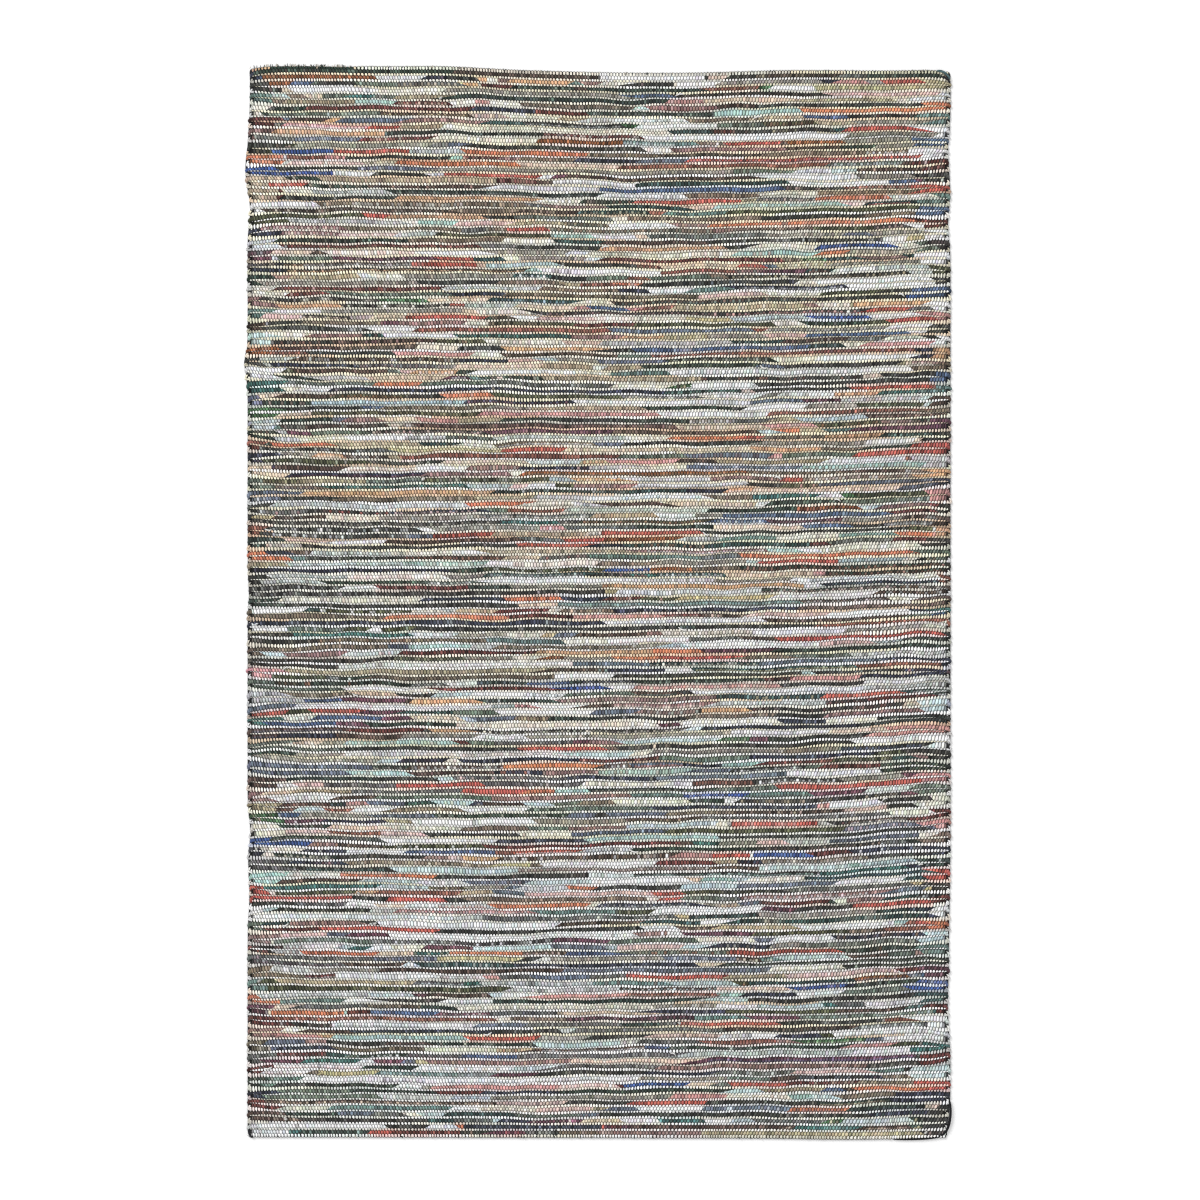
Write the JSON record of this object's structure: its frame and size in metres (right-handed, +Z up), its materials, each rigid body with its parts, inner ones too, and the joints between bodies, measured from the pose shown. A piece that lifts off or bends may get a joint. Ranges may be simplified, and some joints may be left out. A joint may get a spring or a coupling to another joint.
{
  "type": "flatwoven hemp and rag rug",
  "caption": "Flat oblong floor rug: one heavy plain-woven cloth of hemp yarn and coloured rag strips, with woven selvedges and turned-in ends.",
  "frame": {"origin": "middle of the underside, on the floor that the rug lies on", "axes": "+Z up from the floor, +Y along the rug towards the end at the top of the picture, +X along the picks towards its right side"},
  "size_m": [1.2058, 1.8324, 0.008],
  "materials": {
    "rag_and_hemp_weave": "matt plain weave of cream hemp picks and rag strips in black, grey, white, red, orange, blue and brown"
  },
  "bodies": {
    "root": {"rug": "rag_and_hemp_weave"}
  },
  "joints": []
}
